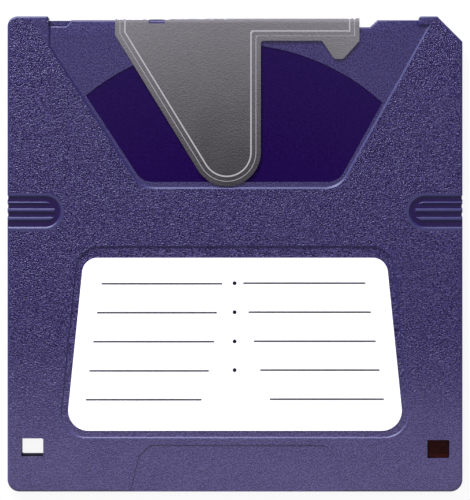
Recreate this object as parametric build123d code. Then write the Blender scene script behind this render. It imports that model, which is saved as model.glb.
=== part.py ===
from build123d import *
import os
from math import acos, atan2, cos, degrees, hypot, radians, sin, tan

# A 3.5-inch high capacity disk cartridge, in millimetres.
# The origin is the middle of the underside. +X is right and +Y is towards the shutter,
# seen with the label up. +Z is the label side.

# Magnetic disc and its hub
disc_diameter = 85.8
disc_thickness = 0.08
hub_boss_diameter = 25.0
hub_flange_width = 2.0
hub_sheet = 0.3
hub_face_height = 0.35
hub_bend = 0.5
spindle_hole_side = 4.0
drive_slot_radius = 9.4
drive_slot_length = 8.0
drive_slot_width = 4.2
drive_slot_corner = 0.8
adhesive_thickness = 0.05
adhesive_inset = 0.25
film_hole_play = 0.2

# Case shells
case_thickness = 3.3
panel_wall = 0.9
rim_wall = 1.6
disc_play = 0.5
chamber_wall = 1.0
rear_margin = 2.64
front_margin = 5.56
edge_round = 0.5
rear_corner_radius = 2.4
front_corner_radius = 2.0
lead_corner = 5.0
left_ear = 8.1
right_ear = 8.5
front_setback = 0.75
setback_corner = 0.3

# Notch in the front edge for the drive's shutter lever, and the slit beside the left ear
lever_notch_from_ear = 8.3
lever_notch_run = 1.5
lever_notch_width = 12.7
lever_notch_depth = 1.39
lever_notch_wall = 1.2
slit_width = 3.5
slit_run = 1.0
slit_depth = 1.19

# Head window and hub opening
head_slot_width = 8.6
head_slot_inner = 19.76
head_slot_margin = 0.94
head_slot_corner = 1.0
hub_opening_play = 0.75
hub_collar_wall = 0.8
hub_collar_height = 0.2

# Shutter
shutter_sheet = 0.2
shutter_fold = 0.3
shutter_play = 0.05
shutter_nose_gap = 0.2
shutter_travel = 10.0
shutter_left_gap = 3.2
shutter_right_gap = 11.9
strip_depth = 4.5
slant_start = 3.35
shutter_tip_radius = 6.72
slot_cover_side = 0.8
slot_cover_end = 4.9
strip_tab_depth = 3.6
strip_tab_width = 1.8
strip_tab_right_run = 3.2
strip_tab_left_run = 2.4
strip_tab_corner = 0.6
strip_corner = 0.5
stamp_rim = 0.9
stamp_band = 0.9
stamp_rim_depth = 0.03
stamp_depth = 0.07
stamp_draft = 76.0
stamp_bead_width = 0.7
stamp_bead_depth = 0.12

# Hook that the spring pushes, bent inwards from a window in the shutter's nose
hook_from_left = 8.25
hook_width = 1.5
hook_window_play = 0.85
hook_reach = 2.85
hook_lift = 0.2
hook_slot_play = 0.4
hook_eye_radius = 0.35
hook_eye_inset = 0.55

# Track in which the shutter slides, and the polished panel in it
track_depth = 0.3
track_foot = 0.55
track_left_drop = 6.0
track_left_angle = 33.0
track_right_drop = 1.6
track_right_step = 2.3
track_right_angle = 29.0
track_corner = 5.0
recess_draft = 52.0
panel_depth = 0.1
panel_side_inset = 0.95
panel_foot_inset = 1.4
panel_corner = 3.6
panel_arc_radius = 44.8
panel_arc_left = 1.0
panel_arc_back = 1.75

# Finger grips
grip_from_front = 38.7
grip_length = 10.7
grip_height = 6.5
grip_depth = 0.25
grip_rib_pitch = 1.7
grip_rib_width = 0.8
grip_rib_inset = 1.2
grip_rib_offset = 0.32
grip_rib_count = 3
grip_rib_draft = 45.0
scallop_radius = 0.55
scallop_depth = 0.25

# Label and its recess
label_thickness = 0.1
label_recess_depth = 0.2
label_recess_from_track = 11.25
label_recess_from_rear = 10.6
label_recess_from_side = 10.0
label_recess_corner = 5.0
label_taper = 5.8
label_margin = 1.45
label_top_margin = 2.35
label_top_corner = 3.0
label_bottom_corner = 4.0

# Smooth pad at the rear edge
pad_depth = 0.12
pad_length = 9.3
pad_width = 34.6
pad_shoulder = 2.2
pad_flare = 2.3
pad_corner = 1.2
pad_right_shift = 0.45

# Sensing holes in the rear corners, and the write-protect slider
sense_hole_width = 4.4
sense_hole_length = 3.65
sense_hole_corner = 0.3
media_hole_from_side = 2.7
media_hole_from_rear = 6.9
media_hole_ledge = 0.5
protect_hole_from_side = 2.6
protect_hole_from_rear = 6.6
slider_cover = 0.4
slider_extra_travel = 0.15
slider_play = 0.15
slider_rail = 0.8
slider_catch_inset = 0.4
slider_catch_recess = 0.25
slider_groove_width = 0.5
slider_groove_depth = 0.25
slider_groove_count = 3

# Locating holes that seat the cartridge in a drive
locating_from_rear = 5.54
locating_from_side = 14.0
locating_radius = 1.8
locating_depth = 2.0
locating_slot_length = 4.4
locating_wall = 1.2

# Weld posts with their pins
post_radius = 1.2
pin_radius = 0.55
pin_play = 0.05
pin_height = 0.45
rear_post_from_hole = 7.0
rear_post_from_rear = 3.4
side_post_from_side = 3.0
side_post_from_front = 11.0
front_post_from_side = 12.0
front_post_from_front = 6.4

# Shutter spring
spring_wire = 0.4
spring_coil_radius = 1.5
spring_coil_pitch = 0.45
spring_coil_x_from_left = 14.0
spring_coil_from_front = 7.4
spring_anchor_from_left = 3.2
spring_anchor_from_front = 3.7
spring_anchor_radius = 0.9
spring_anchor_height = 0.25
spring_anchor_play = 0.1
spring_end_drop = 0.6
spring_turn_swell = 0.01
spring_clearance = 0.05

# Liners, lifter and wear pad
liner_thickness = 0.25
liner_hub_gap = 1.0
liner_edge_gap = 0.8
liner_slot_margin = 0.8
lifter_pocket_depth = 0.3
lifter_length = 14.0
lifter_width = 8.0
lifter_from_wall = 17.4
lifter_ahead = 6.5
lifter_play = 0.2
lifter_sheet = 0.1
wear_pad_diameter = 9.0
wear_pad_thickness = 0.2

# Places that follow from the sizes above
disc_radius = disc_diameter / 2
case_width = disc_diameter + 2 * (disc_play + rim_wall)
case_length = disc_diameter + rear_margin + front_margin
right = case_width / 2
left = -right
front = case_length / 2
rear = -front
hub_y = rear + rear_margin + disc_radius
floor_top = panel_wall
roof = case_thickness - panel_wall
split_height = case_thickness / 2
setback_y = front - front_setback
track_left = left + left_ear
track_right = right - right_ear
chamber_radius = disc_radius + disc_play

lever_notch_right = track_right - lever_notch_from_ear
lever_notch_left = lever_notch_right - lever_notch_run - lever_notch_width
lever_notch_y = setback_y - lever_notch_depth

head_slot_rear = hub_y + head_slot_inner
head_slot_front = hub_y + disc_radius - head_slot_margin

nose_inner = setback_y + shutter_nose_gap
nose_y = nose_inner + shutter_sheet
shutter_top = case_thickness - track_depth + shutter_play + shutter_sheet
shutter_bottom = case_thickness - shutter_top
strip_left = track_left + shutter_travel + shutter_left_gap
strip_right = track_right - shutter_right_gap
strip_foot = nose_y - strip_depth
slant_top = nose_y - slant_start
shutter_right = head_slot_width / 2 + slot_cover_side
tip_x = shutter_right - shutter_tip_radius
tip_foot = head_slot_rear - slot_cover_end
tip_y = tip_foot + shutter_tip_radius
track_foot_y = tip_foot - track_foot

hook_left = strip_left + hook_from_left - hook_width / 2
hook_right = hook_left + hook_width
hook_bottom = floor_top + hook_lift
hook_top = hook_bottom + shutter_sheet
hook_end = nose_inner - hook_reach
hook_eye_x = hook_left + hook_width / 2
hook_eye_y = hook_end + hook_eye_inset

grip_y = front - grip_from_front
label_recess_top = track_foot_y - label_recess_from_track
label_recess_foot = rear + label_recess_from_rear
label_recess_half = right - label_recess_from_side
label_floor = case_thickness - label_recess_depth

film_bottom = split_height - disc_thickness / 2
film_top = split_height + disc_thickness / 2
flange_bottom = film_top + adhesive_thickness
hub_boss_radius = hub_boss_diameter / 2
hub_flange_radius = hub_boss_radius + hub_flange_width
film_hole_radius = hub_boss_radius + film_hole_play
hub_opening_radius = hub_boss_radius + hub_opening_play

protect_right = right - protect_hole_from_side
protect_left = protect_right - sense_hole_width
protect_rear = rear + protect_hole_from_rear
protect_front = protect_rear + sense_hole_length
slider_travel = sense_hole_length + slider_cover + slider_extra_travel
locating_x = right - locating_from_side
locating_y = rear + locating_from_rear
lifter_x = lifter_from_wall - chamber_radius

spring_coil_x = left + spring_coil_x_from_left
spring_coil_y = front - spring_coil_from_front
spring_anchor_x = left + spring_anchor_from_left
spring_anchor_y = front - spring_anchor_from_front
spring_anchor_top = floor_top + spring_anchor_height
spring_low = spring_anchor_top + spring_clearance + spring_wire / 2


# Shapes used all over the model

def flat(*corners):
    """A flat face whose corners are (x, y) or (x, y, radius)."""
    points = [corner[:2] for corner in corners]
    radii = [corner[2] if len(corner) == 3 else 0 for corner in corners]
    return make_face(FilletPolyline(*points, radius=radii, close=True))


def box_face(x_low, x_high, y_low, y_high, radius=0):
    """A rectangle between two X values and two Y values, with one corner radius."""
    return flat((x_low, y_low, radius), (x_high, y_low, radius),
                (x_high, y_high, radius), (x_low, y_high, radius))


def slab(face, bottom, top):
    """The prism that stands on a flat face, between two heights."""
    return extrude(Pos(0, 0, bottom) * face, amount=top - bottom)


def sunk(face, depth, draft, upper):
    """The space of a recess with sloping walls, sunk into the top face or the underside."""
    if upper:
        return extrude(Pos(0, 0, case_thickness) * face, amount=-depth, taper=draft)
    return extrude(face, amount=depth, taper=draft)


def disc_face(x, y, radius):
    """A round face at a place."""
    return Pos(x, y) * Circle(radius)


def ring_face(inner, outer):
    """A flat ring about the hub."""
    return Pos(0, hub_y) * (Circle(outer) - Circle(inner))


def tangent_point(x, y, centre_x, centre_y, radius, side):
    """Where a line from a point touches a circle, on its side 1 or -1."""
    reach = hypot(x - centre_x, y - centre_y)
    towards = atan2(y - centre_y, x - centre_x)
    turn = side * acos(radius / reach)
    return centre_x + radius * cos(towards + turn), centre_y + radius * sin(towards + turn)


# Outlines of the case

def case_outline():
    """The cartridge seen from above: ears, lead corner, set-back front and lever notch."""
    return flat(
        (left, rear, rear_corner_radius),
        (right, rear, rear_corner_radius),
        (right, front - lead_corner, setback_corner),
        (right - lead_corner, front, setback_corner),
        (track_right, front, setback_corner),
        (track_right, setback_y),
        (lever_notch_right, setback_y, setback_corner),
        (lever_notch_right - lever_notch_run, lever_notch_y, setback_corner),
        (lever_notch_left, lever_notch_y, setback_corner),
        (lever_notch_left, setback_y, setback_corner),
        (track_left, setback_y),
        (track_left, front, setback_corner),
        (left, front, front_corner_radius))


def slit_face():
    """Slit in the upper shell's front edge beside the left ear."""
    slit_y = setback_y - slit_depth
    slit_right = track_left + slit_width
    return flat((track_left, front), (track_left, slit_y), (slit_right, slit_y),
                (slit_right + slit_run, setback_y), (slit_right + slit_run, front))


def cavity_face():
    """The hollow inside the rim, kept back from the lever notch and the lead corner."""
    inner = right - rim_wall
    inner_front = setback_y - rim_wall
    inner_lead = lead_corner - front_setback
    hollow = flat((-inner, rear + rim_wall), (inner, rear + rim_wall),
                  (inner, inner_front - inner_lead), (inner - inner_lead, inner_front),
                  (-inner, inner_front))
    notch_wall = box_face(lever_notch_left - lever_notch_wall, lever_notch_right + lever_notch_wall,
                          lever_notch_y - lever_notch_wall, front)
    return hollow - notch_wall


def head_slot_face():
    """The window through both shells through which the heads reach the disc."""
    half = head_slot_width / 2
    return box_face(-half, half, head_slot_rear, head_slot_front, head_slot_corner)


def media_hole_face(ledge):
    """The sensing hole in the left rear corner, shortened by a ledge at its rear end."""
    x_low = left + media_hole_from_side
    y_low = rear + media_hole_from_rear
    return box_face(x_low, x_low + sense_hole_width, y_low + ledge, y_low + sense_hole_length,
                    sense_hole_corner)


def protect_hole_face(rearward):
    """The write-protect hole, lengthened rearward by the given amount."""
    return box_face(protect_left, protect_right, protect_rear - rearward, protect_front,
                    sense_hole_corner)


def track_face():
    """The shutter track: upright beside the ears, then narrowing towards the hub."""
    left_bend = front - track_left_drop
    right_bend = front - track_right_drop
    foot_left = track_left + (left_bend - track_foot_y) * tan(radians(track_left_angle))
    right_top = track_right + track_right_step
    foot_right = right_top - (right_bend - track_foot_y) * tan(radians(track_right_angle))
    beyond = front + track_corner
    return flat((track_left, beyond), (track_left, left_bend),
                (foot_left, track_foot_y, track_corner), (foot_right, track_foot_y, track_corner),
                (right_top, right_bend), (track_right, right_bend), (track_right, beyond))


def panel_face():
    """The polished panel in the track, bounded in front by an arc round the hub."""
    left_bend = front - track_left_drop
    right_bend = front - track_right_drop
    left_slope = tan(radians(track_left_angle))
    right_slope = tan(radians(track_right_angle))
    left_inset = panel_side_inset / cos(radians(track_left_angle))
    right_inset = panel_side_inset / cos(radians(track_right_angle))
    foot = track_foot_y + panel_foot_inset
    foot_left = track_left + (left_bend - foot) * left_slope + left_inset
    foot_right = track_right + track_right_step - (right_bend - foot) * right_slope - right_inset
    tall_left = foot_left - (front - foot) * left_slope
    tall_right = foot_right + (front - foot) * right_slope
    wedge = flat((tall_left, front), (foot_left, foot, panel_corner),
                 (foot_right, foot, panel_corner), (tall_right, front))
    return wedge & disc_face(-panel_arc_left, hub_y - panel_arc_back, panel_arc_radius)


def label_taper_face(top, foot, side_inset, top_radius, foot_radius):
    """A label shape that widens towards the rear, inset from the recess's own sides."""
    slope = tan(radians(label_taper))
    foot_half = label_recess_half - (foot - label_recess_foot) * slope - side_inset
    top_half = label_recess_half - (top - label_recess_foot) * slope - side_inset
    return flat((-top_half, top, top_radius), (-foot_half, foot, foot_radius),
                (foot_half, foot, foot_radius), (top_half, top, top_radius))


def pad_face():
    """The smooth pad at the rear edge, flaring towards it."""
    top = rear + pad_length
    shoulder = top - pad_shoulder
    half = pad_width / 2
    wide = half + pad_shoulder
    flare = wide + pad_flare
    pad = flat((-half, top, pad_corner), (half, top, pad_corner),
               (wide, shoulder, pad_corner), (flare, rear - pad_flare),
               (-flare, rear - pad_flare), (-wide, shoulder, pad_corner))
    return Pos(pad_right_shift, 0) * pad


# Finger grips

def grip_outline(inset):
    """One grip on the right side: a slot with a round inner end, open to the side edge."""
    radius = grip_height / 2 - inset
    inner = right - grip_length + inset
    middle = inner + radius
    straight = box_face(middle, right + grip_height, grip_y - radius, grip_y + radius)
    return straight + disc_face(middle, grip_y, radius)


def grip_rib_heights():
    """The Y place of each rib."""
    first = grip_y + grip_rib_offset - grip_rib_pitch * (grip_rib_count - 1) / 2
    return [first + number * grip_rib_pitch for number in range(grip_rib_count)]


def grip_cut():
    """What one right-hand grip takes from the upper shell: the hollow less its ribs."""
    hollow = sunk(grip_outline(0), grip_depth, recess_draft, True)
    floor = case_thickness - grip_depth
    inside = grip_outline(grip_rib_inset)
    for y in grip_rib_heights():
        bar = box_face(right - grip_length, right + 1, y - grip_rib_width / 2, y + grip_rib_width / 2)
        rib = extrude(Pos(0, 0, floor) * (bar & inside), amount=grip_depth, taper=grip_rib_draft)
        hollow -= rib
    for y in grip_rib_heights():
        groove_x = right + scallop_radius - scallop_depth
        groove = disc_face(groove_x, y + grip_rib_pitch / 2, scallop_radius)
        hollow += slab(groove, split_height, case_thickness)
    return hollow


# Inside features that both shells carry

def post_places():
    """Centres of the weld posts."""
    rear_x = locating_x - rear_post_from_hole
    rear_y = rear + rear_post_from_rear
    side_x = right - side_post_from_side
    side_y = front - side_post_from_front
    return [(-rear_x, rear_y), (rear_x, rear_y), (-side_x, side_y), (side_x, side_y),
            (right - front_post_from_side, front - front_post_from_front)]


def chamber_wall_face():
    """The round wall about the disc, where the rim leaves room for it."""
    return ring_face(chamber_radius, chamber_radius + chamber_wall) & cavity_face()


def slider_rail_faces():
    """The two rails between which the write-protect slider runs."""
    low = rear + rim_wall / 2
    high = protect_front + slider_cover + slider_rail
    inner_left = protect_left - slider_cover - slider_play
    inner_right = protect_right + slider_cover + slider_play
    left_rail = box_face(inner_left - slider_rail, inner_left, low, high)
    right_rail = box_face(inner_right, right - rim_wall / 2, low, high)
    return left_rail + right_rail


def end_stop_face():
    """The stop at the front end of the slider's run."""
    low = protect_front + slider_cover + slider_play
    return box_face(protect_left - slider_cover - slider_play - slider_rail,
                    right - rim_wall / 2, low, low + slider_rail)


def shell_walls(bottom, top):
    """Chamber wall, weld posts and slider rails between two heights."""
    walls = slab(chamber_wall_face(), bottom, top)
    for x, y in post_places():
        walls += slab(disc_face(x, y, post_radius), bottom, top)
    walls += slab(slider_rail_faces() + end_stop_face(), bottom, top)
    return walls


def rounded_plate(bottom, top, upper):
    """A solid half of the case with its outer edge rounded."""
    plate = slab(case_outline(), bottom, top)
    outer = plate.faces().sort_by(Axis.Z)[-1 if upper else 0]
    return fillet(outer.outer_wire().edges(), edge_round)


def upper_shell():
    """Label-side half: track, polished panel, grips, label recess and rear pad."""
    shell = rounded_plate(split_height, case_thickness, True)
    shell -= slab(cavity_face(), split_height, roof)
    shell += shell_walls(split_height, roof)
    for x, y in post_places():
        shell -= slab(disc_face(x, y, pin_radius + pin_play), split_height,
                      split_height + pin_height + pin_play)
    shell -= sunk(track_face(), track_depth, recess_draft, True)
    panel_top = case_thickness - track_depth
    shell -= slab(panel_face(), panel_top - panel_depth, panel_top)
    shell -= slab(slit_face(), split_height, case_thickness)
    shell -= slab(head_slot_face(), split_height, case_thickness)
    shell -= slab(media_hole_face(0), split_height, case_thickness)
    shell -= slab(protect_hole_face(0), split_height, case_thickness)
    recess = label_taper_face(label_recess_top, label_recess_foot, 0,
                              label_recess_corner, label_recess_corner)
    shell -= sunk(recess, label_recess_depth, recess_draft, True)
    shell -= sunk(pad_face(), pad_depth, recess_draft, True)
    grip = grip_cut()
    shell -= grip
    shell -= mirror(grip, Plane.YZ)
    return shell


# Lower shell

def locating_hole_faces(extra):
    """The round and the oblong locating hole, grown by a wall."""
    radius = locating_radius + extra
    half = locating_slot_length / 2 + extra
    oblong = box_face(locating_x - half, locating_x + half, locating_y - radius,
                      locating_y + radius, radius * 0.98)
    return disc_face(-locating_x, locating_y, radius), oblong


def lifter_pocket_face(play):
    """The shallow pocket for the liner's lifter, or the lifter's own outline."""
    half_width = lifter_width / 2 + play
    half_length = lifter_length / 2 + play
    y = hub_y - lifter_ahead
    return box_face(lifter_x - half_width, lifter_x + half_width, y - half_length, y + half_length)


def hook_run_face():
    """The slot in the front wall through which the shutter's hook reaches the spring."""
    return box_face(hook_left - shutter_travel - hook_slot_play, hook_right + hook_slot_play,
                    setback_y - rim_wall - hook_slot_play, front)


def lower_shell():
    """Underside half: hub opening, head window, locating holes and the hook's slot."""
    shell = rounded_plate(0, split_height, False)
    shell -= slab(cavity_face(), floor_top, split_height)
    shell += shell_walls(floor_top, split_height)
    for x, y in post_places():
        shell += slab(disc_face(x, y, pin_radius), split_height, split_height + pin_height)
    for face in locating_hole_faces(locating_wall):
        shell += slab(face, floor_top, roof)
    for face in locating_hole_faces(0):
        shell -= slab(face, 0, locating_depth)
    collar = ring_face(hub_opening_radius, hub_opening_radius + hub_collar_wall)
    shell += slab(collar, floor_top, floor_top + hub_collar_height)
    shell -= slab(disc_face(0, hub_y, hub_opening_radius), 0, floor_top)
    anchor = disc_face(spring_anchor_x, spring_anchor_y, spring_anchor_radius)
    shell += slab(anchor, floor_top, spring_anchor_top)
    socket = disc_face(spring_anchor_x, spring_anchor_y, spring_wire / 2 + spring_anchor_play)
    shell -= slab(socket, spring_low - spring_end_drop - spring_anchor_play, spring_anchor_top)
    shell -= sunk(track_face(), track_depth, recess_draft, False)
    shell -= slab(head_slot_face(), 0, floor_top)
    shell -= slab(media_hole_face(media_hole_ledge), 0, floor_top)
    shell -= slab(protect_hole_face(slider_travel), 0, floor_top)
    shell -= slab(hook_run_face(), floor_top, split_height)
    shell -= slab(lifter_pocket_face(lifter_play), floor_top - lifter_pocket_depth, floor_top)
    return shell


# Shutter

def shutter_face(inset, top, tab):
    """The shutter seen from above, shrunk by an inset, with a tab's corners on its strip."""
    radius = shutter_tip_radius - inset
    panel_right = shutter_right - inset
    foot = strip_foot + inset
    touch = tangent_point(strip_left + inset, slant_top, tip_x, tip_y, radius, 1)
    lowest = (tip_x, tip_y - radius)
    side = (panel_right, tip_y)
    bend = radius * sin(radians(45))
    tip_left = ThreePointArc(touch, (tip_x - radius * sin(radians(25)),
                                     tip_y - radius * cos(radians(25))), lowest)
    tip_right = ThreePointArc(lowest, (tip_x + bend, tip_y - bend), side)
    rest = FilletPolyline(side, (panel_right, foot), *tab, (strip_right - inset, foot),
                          (strip_right - inset, top), (strip_left + inset, top),
                          (strip_left + inset, slant_top), touch,
                          radius=[strip_corner, *[strip_tab_corner] * len(tab), 0, 0, 0, 0])
    return make_face([tip_left, tip_right, rest])


def shutter_outline():
    """The sheet's outline on either leg, with the lever's tab at the strip's right end."""
    tab_foot = strip_foot - strip_tab_depth
    tab_right = strip_right - strip_tab_right_run
    tab_left = tab_right - strip_tab_width
    return shutter_face(0, nose_y, [(tab_left - strip_tab_left_run, strip_foot),
                                    (tab_left, tab_foot), (tab_right, tab_foot)])


def shutter():
    """One steel sheet folded round the front edge, with stamped borders on both legs."""
    sheet = slab(shutter_outline(), shutter_bottom, shutter_top)
    nose = sheet.edges().filter_by(Axis.X).group_by(Axis.Y)[-1]
    sheet = fillet(nose, shutter_fold)
    inside = box_face(left, right, rear, nose_inner)
    sheet -= slab(inside, shutter_bottom + shutter_sheet, shutter_top - shutter_sheet)
    for inset, depth in ((stamp_rim, stamp_rim_depth), (stamp_rim + stamp_band, stamp_depth)):
        stamped = shutter_face(inset, nose_y - shutter_fold, [])
        sheet -= extrude(Pos(0, 0, shutter_top) * stamped, amount=-depth, taper=stamp_draft)
        sheet -= extrude(Pos(0, 0, shutter_bottom) * stamped, amount=depth, taper=stamp_draft)
    for x in (strip_left + stamp_rim, strip_right - stamp_rim - stamp_bead_width):
        bead = box_face(x, x + stamp_bead_width, nose_y - stamp_bead_depth, nose_y + shutter_fold)
        sheet -= slab(bead, shutter_bottom, shutter_top)
    window = box_face(hook_left - hook_window_play, hook_right + hook_window_play,
                      nose_inner - shutter_play, nose_y + shutter_fold)
    sheet -= slab(window, hook_top, shutter_top)
    hook = box_face(hook_left, hook_right, hook_end, nose_y)
    sheet += slab(hook, hook_bottom, hook_top)
    eye = disc_face(hook_eye_x, hook_eye_y, hook_eye_radius)
    return sheet - slab(eye, hook_bottom, hook_top)


# Write-protect slider

def write_protect_slider():
    """The slider that covers the hole, with a ribbed catch in the underside's slot."""
    body = box_face(protect_left - slider_cover, protect_right + slider_cover,
                    protect_rear - slider_cover, protect_front + slider_cover)
    slider = slab(body, floor_top + shutter_play, roof - shutter_play)
    catch_low = protect_rear + slider_catch_inset
    catch_high = protect_front - slider_catch_inset
    catch = box_face(protect_left + slider_catch_inset, protect_right - slider_catch_inset,
                     catch_low, catch_high)
    slider += slab(catch, slider_catch_recess, floor_top + shutter_play)
    pitch = (catch_high - catch_low) / (slider_groove_count + 1)
    for number in range(slider_groove_count):
        y = catch_low + (number + 1) * pitch
        groove = box_face(protect_left, protect_right, y - slider_groove_width / 2,
                          y + slider_groove_width / 2)
        slider -= slab(groove, slider_catch_recess, slider_catch_recess + slider_groove_depth)
        slider -= slab(groove, roof - shutter_play - slider_groove_depth, roof - shutter_play)
    return slider


# Shutter spring

def wire_run(start, end):
    """A straight run of the spring's wire."""
    run = Line(start, end)
    return sweep(Plane(origin=start, z_dir=run % 0) * Circle(spring_wire / 2), run)


def wire_turn(place):
    """The wire's turn between two runs, a hair thicker than the wire."""
    return Pos(*place) * Sphere(spring_wire / 2 + spring_turn_swell)


def shutter_spring():
    """Torsion spring: a leg to the corner anchor, a coil, and a leg to the hook's eye."""
    near = tangent_point(spring_anchor_x, spring_anchor_y, spring_coil_x, spring_coil_y,
                         spring_coil_radius, 1)
    far = tangent_point(hook_eye_x, hook_eye_y, spring_coil_x, spring_coil_y,
                        spring_coil_radius, -1)
    start_angle = degrees(atan2(near[1] - spring_coil_y, near[0] - spring_coil_x))
    end_angle = degrees(atan2(far[1] - spring_coil_y, far[0] - spring_coil_x))
    turns = 1 + ((end_angle - start_angle) % 360) / 360
    rise = turns * spring_coil_pitch
    high = spring_low + rise
    helix = Helix(spring_coil_pitch, rise, spring_coil_radius)
    coil = Pos(spring_coil_x, spring_coil_y, spring_low) * Rot(0, 0, start_angle) * helix
    anchor = (spring_anchor_x, spring_anchor_y, spring_low)
    eye = (hook_eye_x, hook_eye_y, high)
    near_leg = Line(anchor, coil @ 0)
    path = Wire([near_leg.edge(), coil.edge(), Line(coil @ 1, eye).edge()])
    section = Plane(origin=anchor, z_dir=near_leg % 0) * Circle(spring_wire / 2)
    spring = sweep(section, path, transition=Transition.TRANSFORMED)
    for end, foot in ((anchor, spring_low - spring_end_drop), (eye, hook_bottom)):
        spring += wire_turn(end)
        spring += wire_run(end, (end[0], end[1], foot))
    return spring


# Disc, hub and the soft inner pieces

def magnetic_disc():
    """The coated film, with its centre hole for the hub."""
    return slab(ring_face(film_hole_radius, disc_radius), film_bottom, film_top)


def hub_adhesive_ring():
    """The adhesive between film and hub flange."""
    inner = film_hole_radius + adhesive_inset
    outer = hub_flange_radius - adhesive_inset
    return slab(ring_face(inner, outer), film_top, flange_bottom)


def hub_plate():
    """Pressed steel hub: a flange on the film and a dished face with the drive openings."""
    bevel = hub_bend / 2
    face_top = hub_face_height + hub_sheet
    flange_top = flange_bottom + hub_sheet
    inner = hub_boss_radius - hub_sheet
    profile = flat((0, hub_face_height), (hub_boss_radius, hub_face_height, hub_bend),
                   (hub_boss_radius, flange_bottom), (hub_flange_radius, flange_bottom),
                   (hub_flange_radius, flange_top), (inner + bevel, flange_top),
                   (inner, flange_top - bevel), (inner, face_top + bevel),
                   (inner - bevel, face_top), (0, face_top))
    hub = Pos(0, hub_y, 0) * revolve(Plane.XZ * profile, Axis.Z)
    half = spindle_hole_side / 2
    hub -= slab(box_face(-half, half, hub_y - half, hub_y + half), hub_face_height, face_top)
    slot = RectangleRounded(drive_slot_width, drive_slot_length, drive_slot_corner)
    slot = Pos(0, hub_y) * Rot(0, 0, 45) * Pos(drive_slot_radius, 0) * slot
    return hub - slab(slot, hub_face_height, face_top)


def liner_face():
    """A liner sheet: a ring cut away round the head window."""
    ring = ring_face(hub_flange_radius + liner_hub_gap, chamber_radius - liner_edge_gap)
    half = head_slot_width / 2 + liner_slot_margin
    return ring - box_face(-half, half, head_slot_rear - liner_slot_margin, front)


def upper_liner():
    """Non-woven liner bonded to the upper shell."""
    return slab(liner_face(), roof - liner_thickness, roof)


def lower_liner():
    """Non-woven liner bonded to the lower shell."""
    return slab(liner_face(), floor_top, floor_top + liner_thickness)


def liner_lifter():
    """Thin leaf in its pocket, folded double so that its free edge lifts the liner."""
    bottom = floor_top - lifter_pocket_depth
    edge_x = lifter_x - lifter_width / 2
    far_x = lifter_x + lifter_width / 2
    y = hub_y - lifter_ahead + lifter_length / 2
    top = floor_top - shutter_play
    profile = flat((edge_x, bottom), (far_x, bottom), (far_x, bottom + lifter_sheet),
                   (edge_x + lifter_width / 2, bottom + lifter_sheet),
                   (edge_x + lifter_sheet, top), (edge_x, top))
    return extrude(Plane.XZ.offset(-y) * profile, amount=lifter_length)


def spindle_wear_pad():
    """The small disc over the drive's spindle."""
    return slab(disc_face(0, hub_y, wear_pad_diameter / 2), roof - wear_pad_thickness, roof)


def paper_label():
    """The self-adhesive label in its recess."""
    face = label_taper_face(label_recess_top - label_top_margin, label_recess_foot + label_margin,
                            label_margin, label_top_corner, label_bottom_corner)
    return slab(face, label_floor, label_floor + label_thickness)


pieces = {
    "upper_shell": upper_shell,
    "lower_shell": lower_shell,
    "shutter": shutter,
    "shutter_spring": shutter_spring,
    "write_protect_slider": write_protect_slider,
    "magnetic_disc": magnetic_disc,
    "hub_adhesive_ring": hub_adhesive_ring,
    "hub_plate": hub_plate,
    "upper_liner": upper_liner,
    "lower_liner": lower_liner,
    "liner_lifter": liner_lifter,
    "spindle_wear_pad": spindle_wear_pad,
    "paper_label": paper_label,
}

os.makedirs("parts", exist_ok=True)
for name, make in pieces.items():
    export_step(make(), f"parts/{name}.step")
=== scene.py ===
# %% [markdown]
# # A high capacity floppy disk
#
# This lesson dresses a imported CAD model of a 3.5-inch disk cartridge. The case, the disc,
# its hub and everything else that is rigid come from the frame at their real sizes. Here
# they get their finishes. The shutter, the rim that it slides over and the printing on the
# label are modelled anew, because the eye stays longest on those, and so is the spring,
# which has to give way as the shutter opens.
#
# The first cell loads the frame and keeps its box.

# %% Load the frame
import math

import bmesh
import bpy
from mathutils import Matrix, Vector


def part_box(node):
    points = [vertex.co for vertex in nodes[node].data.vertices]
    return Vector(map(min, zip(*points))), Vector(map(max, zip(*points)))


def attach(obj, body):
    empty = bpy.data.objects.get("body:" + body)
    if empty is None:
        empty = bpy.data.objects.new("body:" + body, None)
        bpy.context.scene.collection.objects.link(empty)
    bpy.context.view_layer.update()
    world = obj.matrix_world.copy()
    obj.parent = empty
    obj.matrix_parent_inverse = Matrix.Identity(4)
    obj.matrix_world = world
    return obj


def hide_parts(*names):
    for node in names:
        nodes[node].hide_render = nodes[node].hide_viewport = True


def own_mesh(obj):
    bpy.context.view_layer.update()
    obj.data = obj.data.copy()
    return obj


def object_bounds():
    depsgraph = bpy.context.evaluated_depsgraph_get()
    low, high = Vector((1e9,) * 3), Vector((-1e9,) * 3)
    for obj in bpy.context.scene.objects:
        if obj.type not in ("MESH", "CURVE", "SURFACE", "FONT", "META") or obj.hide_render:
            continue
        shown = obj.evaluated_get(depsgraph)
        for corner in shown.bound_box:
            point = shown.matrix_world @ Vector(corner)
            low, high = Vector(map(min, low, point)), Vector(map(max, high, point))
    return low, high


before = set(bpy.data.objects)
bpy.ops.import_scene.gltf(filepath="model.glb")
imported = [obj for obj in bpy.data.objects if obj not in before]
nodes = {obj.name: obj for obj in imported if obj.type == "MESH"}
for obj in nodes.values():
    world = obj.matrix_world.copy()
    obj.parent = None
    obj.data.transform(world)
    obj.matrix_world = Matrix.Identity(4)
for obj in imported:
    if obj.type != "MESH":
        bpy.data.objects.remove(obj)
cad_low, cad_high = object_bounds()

MM = 0.001
case_top = cad_high.z
case_middle = (cad_low.z + cad_high.z) / 2
print("case box in mm:", [round(c / MM, 2) for c in cad_high - cad_low])

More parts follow.
